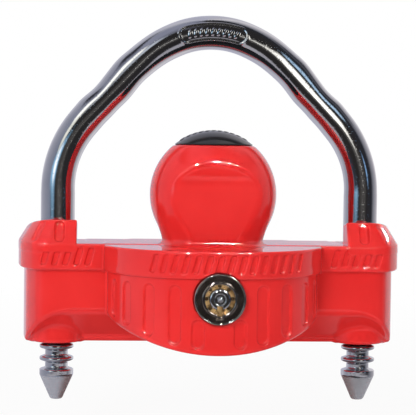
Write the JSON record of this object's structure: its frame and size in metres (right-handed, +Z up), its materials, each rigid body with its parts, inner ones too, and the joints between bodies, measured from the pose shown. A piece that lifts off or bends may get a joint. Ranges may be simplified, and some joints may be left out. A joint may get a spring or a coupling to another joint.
{
  "type": "trailer coupler lock",
  "caption": "Trailer coupler lock: a cast body with a ball that fills the coupler's socket, a bent U shackle on ratchet legs, and a round-key cylinder that drives bolts into the legs.",
  "frame": {"origin": "centre of the ball that fills the coupler's socket", "axes": "+Z up along the shackle's legs, towards its crown; -Y is the face with the lock; +X is to the right when looking at that face"},
  "size_m": [0.144, 0.0681, 0.1444],
  "materials": {
    "red_coat": "glossy powder coat",
    "cap_plastic": "gloss",
    "bar_chrome": "bright plated",
    "lock_chrome": "dark bright plated",
    "lock_brass": "turned",
    "steel": "ground",
    "zinc_steel": "zinc plated",
    "spring_steel": "bright drawn"
  },
  "bodies": {
    "body": {"housing": "red_coat", "ball_cap": "cap_plastic", "rear_cover": "red_coat", "cover_screws": "zinc_steel", "lock_barrel": "lock_chrome", "barrel_pin": "steel", "pin_block": "lock_brass", "driver_springs": "spring_steel", "bolt_guide": "zinc_steel", "guide_screws": "zinc_steel", "left_bolt_spring": "spring_steel", "right_bolt_spring": "spring_steel"},
    "plug": {"lock_plug": "lock_brass", "spindle": "steel", "drive_cam": "zinc_steel", "crank_pins": "steel", "cam_pin": "steel"},
    "pins": {"key_pins": "lock_brass"},
    "drivers": {"driver_pins": "steel"},
    "bolt_left": {"left_bolt": "steel"},
    "bolt_right": {"right_bolt": "steel"},
    "loop": {"shackle": "bar_chrome"}
  },
  "joints": [
    {"name": "shackle_slide", "type": "slide", "parent": "body", "child": "loop", "axis": [0, 0, 1], "range_m": [-0.0138, 0.0736]},
    {"name": "left_bolt_slide", "type": "slide", "parent": "body", "child": "bolt_left", "axis": [-1, 0, 0], "range_m": [0, 0.00509], "deforming": ["left_bolt_spring"]},
    {"name": "right_bolt_slide", "type": "slide", "parent": "body", "child": "bolt_right", "axis": [1, 0, 0], "range_m": [0, 0.00509], "deforming": ["right_bolt_spring"]},
    {"name": "plug_turn", "type": "hinge", "parent": "body", "child": "plug", "pos_m": [0, -0.0421, -0.0346], "axis": [0, -1, 0], "range_deg": [0, 90]},
    {"name": "key_pin_press", "type": "slide", "parent": "plug", "child": "pins", "axis": [0, 1, 0], "range_m": [0, 0.0015], "stiffness_N_per_m": 400, "springref_m": -0.001},
    {"name": "driver_pin_press", "type": "slide", "parent": "body", "child": "drivers", "axis": [0, 1, 0], "range_m": [0, 0.0015], "deforming": ["driver_springs"]}
  ],
  "couplings": [
    {"joint": "right_bolt_slide", "follows": "left_bolt_slide", "ratio": 1},
    {"joint": "plug_turn", "follows": "left_bolt_slide", "rad_per_m": 308.54},
    {"joint": "driver_pin_press", "follows": "key_pin_press", "ratio": 1}
  ]
}
